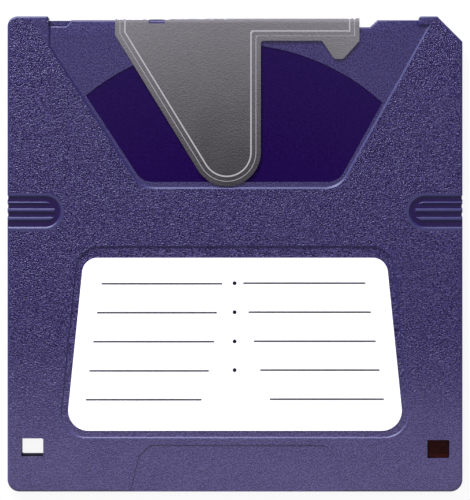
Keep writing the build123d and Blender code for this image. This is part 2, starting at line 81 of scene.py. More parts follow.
# %% [markdown]
# ## The camera
#
# The photograph looks straight down on the label side, from about 0.4 m. A long lens keeps
# the sides upright. The lens follows from the height and from the 98.8 mm that the picture
# shows from top to bottom, because the picture is taller than it is wide.

# %% Add the camera
VIEW_HEIGHT = 98.8 * MM
CAMERA_RISE = 420 * MM
CAMERA_AHEAD = 0.79 * MM
SENSOR = 36.0
bpy.ops.object.select_all(action="DESELECT")
bpy.ops.object.camera_add(location=(0, CAMERA_AHEAD, case_top + CAMERA_RISE), rotation=(0, 0, 0))
camera = bpy.context.object
camera.name = "camera"
camera.data.sensor_width = SENSOR
camera.data.lens = SENSOR * CAMERA_RISE / VIEW_HEIGHT
camera.data.clip_start = 10 * MM
camera.data.clip_end = 20.0
bpy.context.scene.camera = camera
print("lens in mm:", round(camera.data.lens, 1))

# %% [markdown]
# ## Colours and nodes
#
# A colour is written as the sRGB hex value that a painting program shows, and shaders want
# it linear, so one function turns it. A second small function adds a node of any kind, sets
# what it is told and makes its links, which keeps each material readable. An input may be a
# value, a socket, or another node, which stands for its first output. Some sockets share a
# name and go by number: a Mix node blends the numbers in 2 and 3, or the colours in 6 and 7,
# and gives the blended colour at output 2.

# %% Helpers for materials
def to_linear(hex_colour):
    """An sRGB hex colour as the linear red, green, blue and alpha that a shader takes."""
    channels = [int(hex_colour[i:i + 2], 16) / 255 for i in (1, 3, 5)]
    linear = [c / 12.92 if c <= 0.04045 else ((c + 0.055) / 1.055) ** 2.4 for c in channels]
    return (*linear, 1.0)


def add_node(tree, kind, inputs=None, **settings):
    """A node with its settings, and its inputs set to values or linked to others."""
    node = tree.nodes.new(kind)
    node.location = (200 * len(tree.nodes), 0)
    for name, value in settings.items():
        setattr(node, name, value)
    for name, value in (inputs or {}).items():
        if isinstance(value, bpy.types.Node):
            value = value.outputs[0]
        if isinstance(value, bpy.types.NodeSocket):
            tree.links.new(value, node.inputs[name])
        else:
            node.inputs[name].default_value = value
    return node


def new_material(name):
    """An empty node material, its tree and its output node."""
    material = bpy.data.materials.new(name)
    material.use_nodes = True
    material.node_tree.nodes.clear()
    return material, material.node_tree, add_node(material.node_tree, "ShaderNodeOutputMaterial")


def give(piece, material):
    """Puts one material on a piece, in place of those that it has."""
    piece.data.materials.clear()
    piece.data.materials.append(material)
    print(piece.name, "is finished in", material.name)


# %% [markdown]
# ## The floor
#
# The photograph's background is plain white, so the cartridge lies on white paper. Most of
# what the camera, a mirror or a glass sees of it is an even white, and the rest is the real
# diffuse paper, so that the case still casts its shadow on it.

# %% Lay the floor
FLOOR_SIZE = 8.0
FLOOR_DROP = 0.02 * MM
FLOOR_EVENNESS = 0.88
bpy.ops.object.select_all(action="DESELECT")
bpy.ops.mesh.primitive_plane_add(size=FLOOR_SIZE, location=(0, 0, cad_low.z - FLOOR_DROP))
bpy.ops.object.transform_apply(location=True, rotation=True, scale=True)
floor = bpy.context.object
floor.name = "floor"
white_paper, tree, output = new_material("white_background_paper")
path = add_node(tree, "ShaderNodeLightPath").outputs
seen = add_node(tree, "ShaderNodeMath", {0: path["Is Camera Ray"], 1: path["Is Glossy Ray"]},
                operation="MAXIMUM")
seen = add_node(tree, "ShaderNodeMath", {0: seen, 1: path["Is Transmission Ray"]},
                operation="MAXIMUM")
share = add_node(tree, "ShaderNodeMath", {0: seen, 1: FLOOR_EVENNESS}, operation="MULTIPLY")
paper = add_node(tree, "ShaderNodeBsdfDiffuse", {"Color": to_linear("#f8f8f8")})
white = add_node(tree, "ShaderNodeEmission", {"Color": (1, 1, 1, 1), "Strength": 1.0})
mixed = add_node(tree, "ShaderNodeMixShader", {0: share, 1: paper, 2: white})
tree.links.new(mixed.outputs[0], output.inputs["Surface"])
give(floor, white_paper)

# %% [markdown]
# ## The light
#
# The cartridge lies in a light tent. Its walls are pale, and it is open at the top, where
# the camera looks in. A polished face that lies flat reflects the dark room above and looks
# deep, and a rough face beside it also catches the pale walls and looks lighter. The sine of
# the angle from straight up gives the distance from the opening's middle. The tent's roof,
# round the opening, is lit more strongly than its sides.

# %% Make the light tent
ROOM_LEVEL = 0.02
ROOF_LEVEL = 0.95
SIDE_LEVEL = 0.42
OPENING_MIDDLE = (0.0, -0.028, 0.0)
OPENING_EDGE = (0.068, 0.26)
ROOF_EDGE = (0.45, 0.7)
world = bpy.data.worlds.new("light_tent")
bpy.context.scene.world = world
world.use_nodes = True
tree = world.node_tree
tree.nodes.clear()
output = add_node(tree, "ShaderNodeOutputWorld")
ways = add_node(tree, "ShaderNodeTexCoord").outputs["Generated"]
ways = add_node(tree, "ShaderNodeVectorMath", {0: ways, 1: OPENING_MIDDLE},
                operation="SUBTRACT")
level_ways = add_node(tree, "ShaderNodeVectorMath", {0: ways, 1: (1, 1, 0)},
                      operation="MULTIPLY")
lean = add_node(tree, "ShaderNodeVectorMath", {0: level_ways}, operation="LENGTH").outputs["Value"]
roof = add_node(tree, "ShaderNodeMapRange", {"Value": lean, "From Min": ROOF_EDGE[0],
                "From Max": ROOF_EDGE[1], "To Min": ROOF_LEVEL, "To Max": SIDE_LEVEL})
level = add_node(tree, "ShaderNodeMapRange", {"Value": lean, "From Min": OPENING_EDGE[0],
                 "From Max": OPENING_EDGE[1], "To Min": ROOM_LEVEL, "To Max": roof})
sky = add_node(tree, "ShaderNodeBackground", {"Color": to_linear("#fffcff"), "Strength": level})
tree.links.new(sky.outputs[0], output.inputs["Surface"])

# %% [markdown]
# One softbox stands low on the far side. Low light skims over the grain and the stamped
# lines and makes them stand out, and it draws a bright line on every edge that faces it. A
# second one hangs high on the near side, and gives the satin plastic there a broad sheen. The
# Standard view transform shows the colours as they are, so white paper comes out white.

# %% Hang the softboxes
def hang_softbox(name, place, width, height, watts, colour):
    """A rectangular lamp that faces the case."""
    bpy.ops.object.select_all(action="DESELECT")
    aim = Vector((0, 0, case_top)) - Vector(place)
    bpy.ops.object.light_add(type="AREA", location=place,
                             rotation=aim.to_track_quat("-Z", "Y").to_euler())
    softbox = bpy.context.object
    softbox.name = name
    softbox.data.shape = "RECTANGLE"
    softbox.data.size = width
    softbox.data.size_y = height
    softbox.data.energy = watts
    softbox.data.color = to_linear(colour)[:3]
    rise = math.degrees(math.atan2(place[2], math.hypot(place[0], place[1])))
    print(name, "stands", round(rise), "degrees above the floor")


hang_softbox("far_softbox", (-0.28, 0.76, 0.30), 0.5, 0.2, 17.0, "#dfe3ff")
hang_softbox("near_softbox", (-0.03, -0.30, 1.0), 0.5, 0.22, 1.8, "#fdf8ff")
bpy.context.scene.view_settings.view_transform = "Standard"

# %% [markdown]
# ## The case plastic
#
# Both shells are injection moulded in violet ABS. The mould was finished in several ways:
# spark eroded to a coarse grain on the outside and under the label, finer in the track in
# which the shutter slides, smooth in the finger grips, and mirror polished in the panel
# behind the shutter. It is one plastic, so it is one material. A point's height above the
# case's middle plane tells in which of the sunk faces it lies, because the two sides mirror
# each other, and its place in plan tells the grips and the ears apart. Two slanted lines run
# inwards from the track's bends: the ears outside them are coarse, and what stands between
# them is as fine as the track. The grain is eroded into flat faces only, so every slope and
# rounded edge is smooth and has a satin sheen. The rear is painted a little paler, in soft
# patches, as a painted sheen, and its pebbles are made shallower there, as wear.

# %% Where the finishes lie
TRACK_LEVEL = 1.35 * MM
PANEL_LEVEL = 1.25 * MM
PANEL_REAR = 13 * MM
PANEL_HALF = 36 * MM
LEVEL_PLAY = 0.03 * MM
GRIP_MIDDLE = (37.55 * MM, 8.3 * MM)
GRIP_RADIUS = 3.75 * MM
GRIP_LEVEL = 1.5 * MM
LEFT_BEND = (-36.9 * MM, 41.0 * MM, 0.0)
LEFT_INWARD = (1.0, math.tan(math.radians(33)), 0.0)
RIGHT_BEND = (38.8 * MM, 45.4 * MM, 0.0)
RIGHT_INWARD = (-1.0, math.tan(math.radians(29)), 0.0)
FLAT_FACING = (0.96, 0.995)
# Where the rear is painted paler as a painted sheen, and its pebbles made shallower as wear.
REAR_SHEEN_AND_WEAR = (-12 * MM, -44 * MM)


def where_all(tree, masks):
    """The mask of the places where every one of these masks is."""
    overlap = masks[0]
    for mask in masks[1:]:
        overlap = add_node(tree, "ShaderNodeMath", {0: overlap, 1: mask}, operation="MULTIPLY")
    return overlap


def case_masks(tree, place, facing):
    """Masks from 0 to 1: coarse grain, track grain, polished panel, grips, the rear's painted
    sheen and wear.
    """
    axes = add_node(tree, "ShaderNodeSeparateXYZ", {0: place}).outputs
    centred = add_node(tree, "ShaderNodeVectorMath", {0: place, 1: (0, 0, case_middle)},
                       operation="SUBTRACT")
    folded = add_node(tree, "ShaderNodeVectorMath", {0: centred}, operation="ABSOLUTE")
    sideways, _, level = add_node(tree, "ShaderNodeSeparateXYZ", {0: folded}).outputs

    ahead = add_node(tree, "ShaderNodeMath", {0: axes["Y"], 1: PANEL_REAR},
                     operation="GREATER_THAN")
    at_panel = add_node(tree, "ShaderNodeMath", {0: level, 1: PANEL_LEVEL, 2: LEVEL_PLAY},
                        operation="COMPARE")
    within = add_node(tree, "ShaderNodeMath", {0: sideways, 1: PANEL_HALF}, operation="LESS_THAN")
    panel = where_all(tree, (at_panel, ahead, within))

    across = add_node(tree, "ShaderNodeMapRange", {"Value": sideways, "From Min": GRIP_MIDDLE[0],
                      "From Max": 0.0, "To Max": GRIP_MIDDLE[0]})
    along = add_node(tree, "ShaderNodeMath", {0: axes["Y"], 1: GRIP_MIDDLE[1]},
                     operation="SUBTRACT")
    reach = add_node(tree, "ShaderNodeCombineXYZ", {"X": across, "Y": along})
    reach = add_node(tree, "ShaderNodeVectorMath", {0: reach}, operation="LENGTH").outputs["Value"]
    near_grip = add_node(tree, "ShaderNodeMath", {0: reach, 1: GRIP_RADIUS}, operation="LESS_THAN")
    label_side = add_node(tree, "ShaderNodeMath", {0: axes["Z"], 1: case_middle},
                          operation="GREATER_THAN")
    grip = where_all(tree, (near_grip, label_side))

    smooth = add_node(tree, "ShaderNodeMath", {0: grip, 1: panel}, operation="MAXIMUM")
    eroded = add_node(tree, "ShaderNodeMath", {0: 1.0, 1: smooth}, operation="SUBTRACT")
    upright = add_node(tree, "ShaderNodeSeparateXYZ", {0: facing}).outputs["Z"]
    upright = add_node(tree, "ShaderNodeMath", {0: upright}, operation="ABSOLUTE")
    flat = add_node(tree, "ShaderNodeMapRange", {"Value": upright, "From Min": FLAT_FACING[0],
                    "From Max": FLAT_FACING[1]})
    at_floor = add_node(tree, "ShaderNodeMath", {0: level, 1: GRIP_LEVEL}, operation="LESS_THAN")
    grip = where_all(tree, (grip, flat, at_floor))

    high = add_node(tree, "ShaderNodeMapRange", {"Value": level,
                    "From Min": TRACK_LEVEL + LEVEL_PLAY,
                    "From Max": TRACK_LEVEL + 3 * LEVEL_PLAY})
    inside = []
    for bend, inward in ((LEFT_BEND, LEFT_INWARD), (RIGHT_BEND, RIGHT_INWARD)):
        way = add_node(tree, "ShaderNodeVectorMath", {0: place, 1: bend}, operation="SUBTRACT")
        way = add_node(tree, "ShaderNodeVectorMath", {0: way, 1: inward}, operation="DOT_PRODUCT")
        inside.append(add_node(tree, "ShaderNodeMath", {0: way.outputs["Value"], 1: 0.0},
                               operation="GREATER_THAN"))
    wedge = where_all(tree, (*inside, high, ahead))
    outer = add_node(tree, "ShaderNodeMath", {0: high, 1: wedge}, operation="SUBTRACT")
    flat = where_all(tree, (flat, eroded))
    coarse = where_all(tree, (outer, flat))
    fine = add_node(tree, "ShaderNodeMath", {0: flat, 1: coarse}, operation="SUBTRACT")
    # The rear's mask, for its painted sheen and its wear.
    rear = add_node(tree, "ShaderNodeMapRange", {"Value": axes["Y"], "From Min": REAR_SHEEN_AND_WEAR[0],
                    "From Max": REAR_SHEEN_AND_WEAR[1]}, interpolation_type="SMOOTHSTEP")
    return coarse, fine, panel, grip, rear


# %% [markdown]
# One noise makes the pebbles of the grain. It drives the bump, and it colours the plastic as
# well: little light gets into the pits between the pebbles, so they look darker and reflect
# less. In the track the same grain is shallower. A wide, cloudy noise sets how much of the
# rear is painted paler as a painted sheen, and there the pebbles are made shallower, as wear.

# %% Moulded ABS
GRAIN_SPACING = 0.27 * MM
GRAIN_DEPTH = 0.15 * MM
FINE_DEPTH = 0.4
FINE_PITS = 0.7
CLOUD_SIZE = 9 * MM


def moulded_abs():
    """Violet ABS: pebbly where the mould was eroded, glossy and darker where polished."""
    material, tree, output = new_material("moulded_abs_violet")
    sockets = add_node(tree, "ShaderNodeTexCoord").outputs
    place = sockets["Object"]
    coarse, fine, panel, grip, rear = case_masks(tree, place, sockets["Normal"])
    pebbles = add_node(tree, "ShaderNodeTexNoise", {"Vector": place, "Scale": 1 / GRAIN_SPACING,
                       "Detail": 1.0, "Roughness": 0.5}).outputs["Fac"]
    pebbles = add_node(tree, "ShaderNodeMapRange", {"Value": pebbles, "From Min": 0.3,
                       "From Max": 0.7})
    cloud = add_node(tree, "ShaderNodeTexNoise", {"Vector": place, "Scale": 1 / CLOUD_SIZE,
                     "Detail": 4.0}).outputs["Fac"]
    grained = add_node(tree, "ShaderNodeMath", {0: fine, 1: FINE_DEPTH, 2: coarse},
                       operation="MULTIPLY_ADD")
    eroded = add_node(tree, "ShaderNodeMath", {0: fine, 1: FINE_PITS, 2: coarse},
                      operation="MULTIPLY_ADD")

    pits = add_node(tree, "ShaderNodeMix", {0: pebbles, 6: to_linear("#10072d"),
                    7: to_linear("#352663")}, data_type="RGBA").outputs[2]
    colour = add_node(tree, "ShaderNodeMix", {0: eroded, 6: to_linear("#1b154d"), 7: pits},
                      data_type="RGBA").outputs[2]
    cloud = add_node(tree, "ShaderNodeMapRange", {"Value": cloud, "To Min": 0.35,
                     "To Max": 0.62})
    # Painted sheen: the rear is mixed towards a paler violet in soft patches in place of light;
    # the same mask makes the pebbles shallower, as wear.
    sheen_and_wear = add_node(tree, "ShaderNodeMath", {0: rear, 1: cloud}, operation="MULTIPLY")
    colour = add_node(tree, "ShaderNodeMix", {0: sheen_and_wear, 6: colour, 7: to_linear("#5a5478")},
                      data_type="RGBA").outputs[2]
    shining = add_node(tree, "ShaderNodeMath", {0: panel, 1: grip}, operation="MAXIMUM")
    polished = add_node(tree, "ShaderNodeMix", {0: pebbles, 6: to_linear("#140334"),
                        7: to_linear("#1f0b44")}, data_type="RGBA").outputs[2]
    colour = add_node(tree, "ShaderNodeMix", {0: shining, 6: colour, 7: polished},
                      data_type="RGBA").outputs[2]

    roughness = add_node(tree, "ShaderNodeMapRange", {"Value": grained, "To Min": 0.5,
                         "To Max": 0.38})
    roughness = add_node(tree, "ShaderNodeMix", {0: grip, 2: roughness, 3: 0.16})
    roughness = add_node(tree, "ShaderNodeMix", {0: panel, 2: roughness, 3: 0.07})
    depth = add_node(tree, "ShaderNodeMapRange", {"Value": sheen_and_wear, "From Max": 0.5, "To Min": 1.0,
                     "To Max": 0.5})
    depth = add_node(tree, "ShaderNodeMath", {0: depth, 1: grained}, operation="MULTIPLY")
    bump = add_node(tree, "ShaderNodeBump", {"Height": pebbles, "Strength": depth,
                    "Distance": GRAIN_DEPTH})

    hollow = add_node(tree, "ShaderNodeMapRange", {"Value": pebbles, "From Max": 0.8,
                      "To Min": 0.08, "To Max": 0.5})
    gloss = add_node(tree, "ShaderNodeMix", {0: eroded, 2: 0.5, 3: hollow})
    gloss = add_node(tree, "ShaderNodeMix", {0: panel, 2: gloss, 3: 0.2})
    shader = add_node(tree, "ShaderNodeBsdfPrincipled", {"Base Color": colour, "IOR": 1.53,
                      "Specular IOR Level": gloss, "Roughness": roughness, "Normal": bump})
    tree.links.new(shader.outputs[0], output.inputs["Surface"])
    return material


abs_violet = moulded_abs()
for name in ("upper_shell", "lower_shell"):
    give(nodes[name], abs_violet)

# %% [markdown]
# ## Modelling by hand
#
# A few helpers stand in for the mouse: one starts an outline from a single vertex, one
# drags the selected vertices to a place, and one selects vertices, edges or faces by a test
# of where they are. Every operator acts on what is selected, so each step selects first.
# From here on lengths are written in millimetres, and a test gets places in millimetres too.

# %% Helpers for modelling
def start_object(name):
    """Leaves the new primitive as a named object at the origin, in edit mode, all selected."""
    bpy.ops.object.transform_apply(location=True, rotation=True, scale=True)
    piece = bpy.context.object
    piece.name = name
    bpy.ops.object.mode_set(mode="EDIT")
    bpy.ops.mesh.select_mode(type="VERT")
    bpy.ops.mesh.select_all(action="SELECT")
    return piece


def select_where(piece, test, mode="VERT"):
    """Selects the vertices, edges or faces whose middle passes the test; gives their number."""
    bpy.ops.mesh.select_mode(type=mode)
    bpy.ops.mesh.select_all(action="DESELECT")
    mesh = bmesh.from_edit_mesh(piece.data)
    parts = {"VERT": mesh.verts, "EDGE": mesh.edges, "FACE": mesh.faces}[mode]
    count = 0
    for part in parts:
        corners = [part] if mode == "VERT" else part.verts
        middle = sum((v.co for v in corners), Vector()) / len(corners)
        if test(middle / MM, part):
            part.select_set(True)
            count += 1
    mesh.select_flush_mode()
    bmesh.update_edit_mesh(piece.data)
    return count


def drag_vertex(dx, dy, dz=0.0):
    """Extrudes the selected vertices by a step in millimetres."""
    step = (dx * MM, dy * MM, dz * MM)
    bpy.ops.mesh.extrude_vertices_move(TRANSFORM_OT_translate={"value": step})


def apply_modifier(piece, kind, **settings):
    """Adds a modifier with its settings and applies it."""
    modifier = piece.modifiers.new(kind.lower(), kind)
    for name, value in settings.items():
        setattr(modifier, name, value)
    bpy.ops.object.modifier_apply(modifier=modifier.name)


def finish_piece(piece, angle=30.0):
    """Back to object mode, with smooth shading up to an angle and the faces counted."""
    if bpy.context.mode != "OBJECT":
        bpy.ops.object.mode_set(mode="OBJECT")
    bpy.ops.object.shade_smooth_by_angle(angle=math.radians(angle))
    low, high = [[round(f(v.co[i] for v in piece.data.vertices) / MM, 2) for i in range(3)]
                 for f in (min, max)]
    print(piece.name, len(piece.data.polygons), "faces, from", low, "to", high)


# %% [markdown]
# ## The track's front edge
#
# The track runs out over the case's front edge, and its rim there is rounded, so that the
# shutter's fold can slide over it. The light catches that rounding as a bright band. It is
# made on a copy of the upper shell: the copy's triangles are merged and the flat ones joined,
# and the track's floor is inset in narrow rings.

# %% Inset the rings of the front rim
TRACK_FLOOR = 3.0
ON_FLOOR = 0.005
FLOOR_AREA = (4 * MM) ** 2
SAME_PLACE = 0.0005
SAME_PLANE = 0.3
RIM = ((-36.5, 45.06), (-33.4, 45.06), (-32.4, 46.25), (14.0, 46.25), (14.0, 44.86), (26.7, 44.86),
       (28.2, 46.25), (36.5, 46.25))
RIM_ROUND = 0.36
RIM_RINGS = (0.0, 0.05, 0.14, 0.25, 0.36)
RIM_PLAY = 0.05
RIM_REAR = 43.5
RIM_WELD = 0.06
RIM_STOP = 0.07


def rim_distance(point):
    """How far a point lies from the front edge in plan."""
    nearest = 100.0
    for here, there in zip(RIM, RIM[1:]):
        run = Vector(there) - Vector(here)
        way = Vector((point.x, point.y)) - Vector(here)
        share = min(max(way.dot(run) / run.length_squared, 0.0), 1.0)
        nearest = min(nearest, (way - run * share).length)
    return nearest


bpy.ops.object.select_all(action="DESELECT")
nodes["upper_shell"].select_set(True)
bpy.context.view_layer.objects.active = nodes["upper_shell"]
bpy.ops.object.duplicate()
shell = bpy.context.object
shell.name = "upper_shell_rounded"
bpy.ops.mesh.customdata_custom_splitnormals_clear()
bpy.ops.object.mode_set(mode="EDIT")
bpy.ops.mesh.select_all(action="SELECT")
bpy.ops.mesh.remove_doubles(threshold=SAME_PLACE * MM)
bpy.ops.mesh.dissolve_limited(angle_limit=math.radians(SAME_PLANE))
select_where(shell, lambda middle, part: abs(middle.z - TRACK_FLOOR) < ON_FLOOR, "FACE")
bpy.ops.mesh.bisect(plane_co=(0, RIM_REAR * MM, 0), plane_no=(0, 1, 0))
for ring, following in zip(RIM_RINGS, RIM_RINGS[1:]):
    found = select_where(shell, lambda middle, part: abs(middle.z - TRACK_FLOOR) < ON_FLOOR
                         and middle.y > RIM_REAR and part.calc_area() > FLOOR_AREA, "FACE")
    bpy.ops.mesh.inset(thickness=(following - ring) * MM, depth=0.0, use_even_offset=True)
    bpy.ops.mesh.remove_doubles(threshold=RIM_WELD * MM)
print("inset", found, "faces of the track's floor")

# %% [markdown]
# Each ring is then lowered where it runs along the front edge, as far as the rounding's circle
# lies under the floor there. The outermost ring stops 0.07 mm short of the circle's end.

# %% Lower the rings
for ring in RIM_RINGS[:-1]:
    drop = RIM_ROUND - math.sqrt(max(RIM_ROUND ** 2 - (RIM_ROUND - ring) ** 2, RIM_STOP ** 2))
    reach = RIM_PLAY if ring == 0 else RIM_PLAY / 2
    found = select_where(shell, lambda middle, part: middle.z > TRACK_FLOOR - RIM_ROUND
                         and middle.z < TRACK_FLOOR + ON_FLOOR
                         and abs(rim_distance(middle) - ring - RIM_PLAY / 2) <= reach)
    bpy.ops.transform.resize(value=(1, 1, 0), center_override=(0, 0, (TRACK_FLOOR - drop) * MM))
    print("ring at", ring, "mm:", found, "vertices lowered by", round(drop, 3), "mm")
finish_piece(shell)
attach(shell, "case")
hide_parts("upper_shell")

# %% [markdown]
# ## The shutter
#
# The shutter is pressed from 0.2 mm stainless sheet and folded over the case's front edge.
# Two stamped lines follow its border at 0.9 and 1.8 mm and run on over the fold. One leg is
# drawn as a flat outline: the round tip is spun, and the straight sides are dragged on from
# it. The outline reaches past the fold on purpose, so that the stamped insets stay open
# there when it is cut off.

# %% Draw one leg
SHEET_TOP = 3.25
NOSE = 46.65
FOLD = 0.3
LEFT_SIDE = -23.7
RIGHT_SIDE = 24.6
STRIP_FOOT = 42.15
SLANT_TOP = 43.3
TIP = (-1.62, 20.12)
TIP_RADIUS = 6.72
BEYOND = 50.0
TAB_START = 17.2

panel_side = TIP[0] + TIP_RADIUS
reach = math.hypot(LEFT_SIDE - TIP[0], SLANT_TOP - TIP[1])
touch_angle = math.atan2(SLANT_TOP - TIP[1], LEFT_SIDE - TIP[0]) + math.acos(TIP_RADIUS / reach)
touch = (TIP[0] + TIP_RADIUS * math.cos(touch_angle), TIP[1] + TIP_RADIUS * math.sin(touch_angle))

bpy.ops.object.select_all(action="DESELECT")
bpy.ops.mesh.primitive_plane_add(size=MM, location=(panel_side * MM, TIP[1] * MM, SHEET_TOP * MM))
shutter = start_object("shutter_sheet")
bpy.ops.mesh.merge(type="CENTER")
bpy.ops.mesh.spin(steps=26, angle=-touch_angle % (2 * math.pi),
                  center=(TIP[0] * MM, TIP[1] * MM, SHEET_TOP * MM), axis=(0, 0, 1))
mesh = bmesh.from_edit_mesh(shutter.data)
print("arc ends at", [[round(c / MM, 2) for c in v.co] for v in mesh.verts if v.select],
      "and should at", [round(c, 2) for c in touch])
corners = [touch, (LEFT_SIDE, SLANT_TOP), (LEFT_SIDE, BEYOND), (RIGHT_SIDE, BEYOND),
           (RIGHT_SIDE, STRIP_FOOT), (TAB_START, STRIP_FOOT), (panel_side, STRIP_FOOT),
           (panel_side, TIP[1])]
for here, there in zip(corners, corners[1:]):
    drag_vertex(there[0] - here[0], there[1] - here[1])
bpy.ops.mesh.select_all(action="SELECT")
bpy.ops.mesh.remove_doubles(threshold=0.01 * MM)
bpy.ops.mesh.edge_face_add()
bpy.ops.mesh.flip_normals()
mesh = bmesh.from_edit_mesh(shutter.data)
print("outline:", len(mesh.verts), "vertices,", len(mesh.faces), "face, normal",
      [round(c, 2) for c in mesh.faces[:][0].normal])

# %% [markdown]
# The inner corner of the strip is rounded, and then the face is inset four times: in to the
# first line, down its slope, in to the second line, and down again. An inset makes that
# corner's arc wider each time, and a press tool has the same tight corner on every line, so
# each new arc is shrunk back towards the point where its two sides would meet. The lever's
# tab has no stamping, so it is extruded last from the plain edge, narrowed and rounded.

# %% Stamp the borders and add the tab
CORNER = 0.5
TAB_DEPTH = 3.6
TAB_LEFT = 19.6
TAB_RIGHT = 21.4
TAB_CORNER = 0.45
NEAR = 0.05
STAMP = ((0.9, 0.0), (0.12, -0.03), (0.78, 0.0), (0.28, -0.05))


def at(x, y):
    """A test for what lies at a place in plan."""
    return lambda middle, part: math.hypot(middle.x - x, middle.y - y) < NEAR


def is_field(middle, part):
    """True for the one big face in the middle of the leg."""
    return part.calc_area() > (10 * MM) ** 2


def on_corner_arc(moved_in, radius):
    """A test for the new ring's corner, which is an arc round the last corner's centre."""
    centre = (panel_side - moved_in + CORNER, STRIP_FOOT + moved_in - CORNER)
    return lambda middle, part: (abs(math.hypot(middle.x - centre[0], middle.y - centre[1])
                                     - radius) < 0.01
                                 and middle.x < centre[0] + 0.01 and middle.y > centre[1] - 0.01)


select_where(shutter, at(panel_side, STRIP_FOOT))
bpy.ops.mesh.bevel(offset=CORNER * MM, segments=14, affect="VERTICES")
moved_in = 0.0
for inward, down in STAMP:
    select_where(shutter, is_field, "FACE")
    bpy.ops.mesh.inset(thickness=inward * MM, depth=down * MM, use_even_offset=True)
    grown = CORNER + inward
    found = select_where(shutter, on_corner_arc(moved_in, grown))
    moved_in += inward
    mitre = (panel_side - moved_in, STRIP_FOOT + moved_in)
    bpy.ops.transform.resize(value=(CORNER / grown, CORNER / grown, 1),
                             center_override=(mitre[0] * MM, mitre[1] * MM, 0))
    print("ring at", round(moved_in, 2), "mm, its corner has", found, "vertices")
tab_middle = (TAB_START + RIGHT_SIDE) / 2
select_where(shutter, at(tab_middle, STRIP_FOOT), "EDGE")
bpy.ops.mesh.extrude_region_move(TRANSFORM_OT_translate={"value": (0, -TAB_DEPTH * MM, 0)})
for old, new in ((TAB_START, TAB_LEFT), (RIGHT_SIDE, TAB_RIGHT)):
    select_where(shutter, at(old, STRIP_FOOT - TAB_DEPTH))
    bpy.ops.transform.translate(value=((new - old) * MM, 0, 0))
select_where(shutter, lambda middle, part: abs(middle.y - STRIP_FOOT + TAB_DEPTH) < NEAR)
bpy.ops.mesh.bevel(offset=TAB_CORNER * MM, segments=9, affect="VERTICES")

# %% [markdown]
# The leg is cut off at the fold, its open edge is spun a quarter turn round the fold's axis
# and drawn down to the middle of the case. A mirror makes the other leg.

# %% Fold the sheet
middle_height = case_middle / MM
bpy.ops.mesh.select_all(action="SELECT")
bpy.ops.mesh.bisect(plane_co=(0, (NOSE - FOLD) * MM, 0), plane_no=(0, 1, 0), clear_outer=True)
select_where(shutter, lambda middle, part: abs(middle.y - NOSE + FOLD) < 0.005, "EDGE")
bpy.ops.mesh.spin(steps=14, angle=math.pi / 2, axis=(1, 0, 0),
                  center=(0, (NOSE - FOLD) * MM, (SHEET_TOP - FOLD) * MM))
mesh = bmesh.from_edit_mesh(shutter.data)
edge_now = [v.co / MM for v in mesh.verts if v.select]
print("the fold ends at y, z", round(max(v.y for v in edge_now), 2), round(edge_now[0].z, 2))
bpy.ops.mesh.extrude_region_move(
    TRANSFORM_OT_translate={"value": (0, 0, (middle_height - SHEET_TOP + FOLD) * MM)})
bpy.ops.object.mode_set(mode="OBJECT")
bpy.context.scene.cursor.location = (0, 0, case_middle)
bpy.ops.object.origin_set(type="ORIGIN_CURSOR")
apply_modifier(shutter, "MIRROR", use_axis=(False, False, True), merge_threshold=0.005 * MM)
bpy.context.scene.cursor.location = (0, 0, 0)
bpy.ops.object.origin_set(type="ORIGIN_CURSOR")
bpy.ops.object.mode_set(mode="EDIT")
bpy.ops.mesh.select_all(action="SELECT")
bpy.ops.mesh.remove_doubles(threshold=0.002 * MM)
bpy.ops.mesh.normals_make_consistent(inside=False)
bpy.ops.object.mode_set(mode="OBJECT")
widest = max(shutter.data.polygons, key=lambda face: face.area * face.center.z)
print("the upper leg faces", [round(c, 2) for c in widest.normal])

# %% [markdown]
# A window in the nose frees the hook that the spring pushes. It also takes the front edge of
# the upper leg along, back to 45.6 mm. The sheet is cut there, then at the window's sides and
# foot, and what lies between is deleted.

# %% Cut the window
WINDOW = (-17.05, -13.85)
WINDOW_REAR = 45.6
HOOK_TOP = 1.3


def in_nose(middle, part):
    """True for what lies ahead of the window's rear edge."""
    return middle.y > WINDOW_REAR + 0.001


bpy.ops.object.mode_set(mode="EDIT")
select_where(shutter, lambda middle, part: middle.z > middle_height, "FACE")
bpy.ops.mesh.bisect(plane_co=(0, WINDOW_REAR * MM, 0), plane_no=(0, 1, 0))
for point, normal in (((WINDOW[0], 0, 0), (1, 0, 0)), ((WINDOW[1], 0, 0), (1, 0, 0)),
                      ((0, 0, HOOK_TOP), (0, 0, 1))):
    select_where(shutter, in_nose, "FACE")
    bpy.ops.mesh.bisect(plane_co=Vector(point) * MM, plane_no=normal)
select_where(shutter, lambda middle, part: in_nose(middle, part) and middle.z > HOOK_TOP
             and WINDOW[0] < middle.x < WINDOW[1], "FACE")
bpy.ops.mesh.delete(type="FACE")
bpy.ops.object.mode_set(mode="OBJECT")

# %% [markdown]
# The hook is a ring round the spring's eye whose front half is drawn out to the nose. It is
# joined to the sheet, and Solidify makes both 0.16 mm thick. That is a little less than the
# real 0.2 mm, so that the sunk field clears the track's floor.

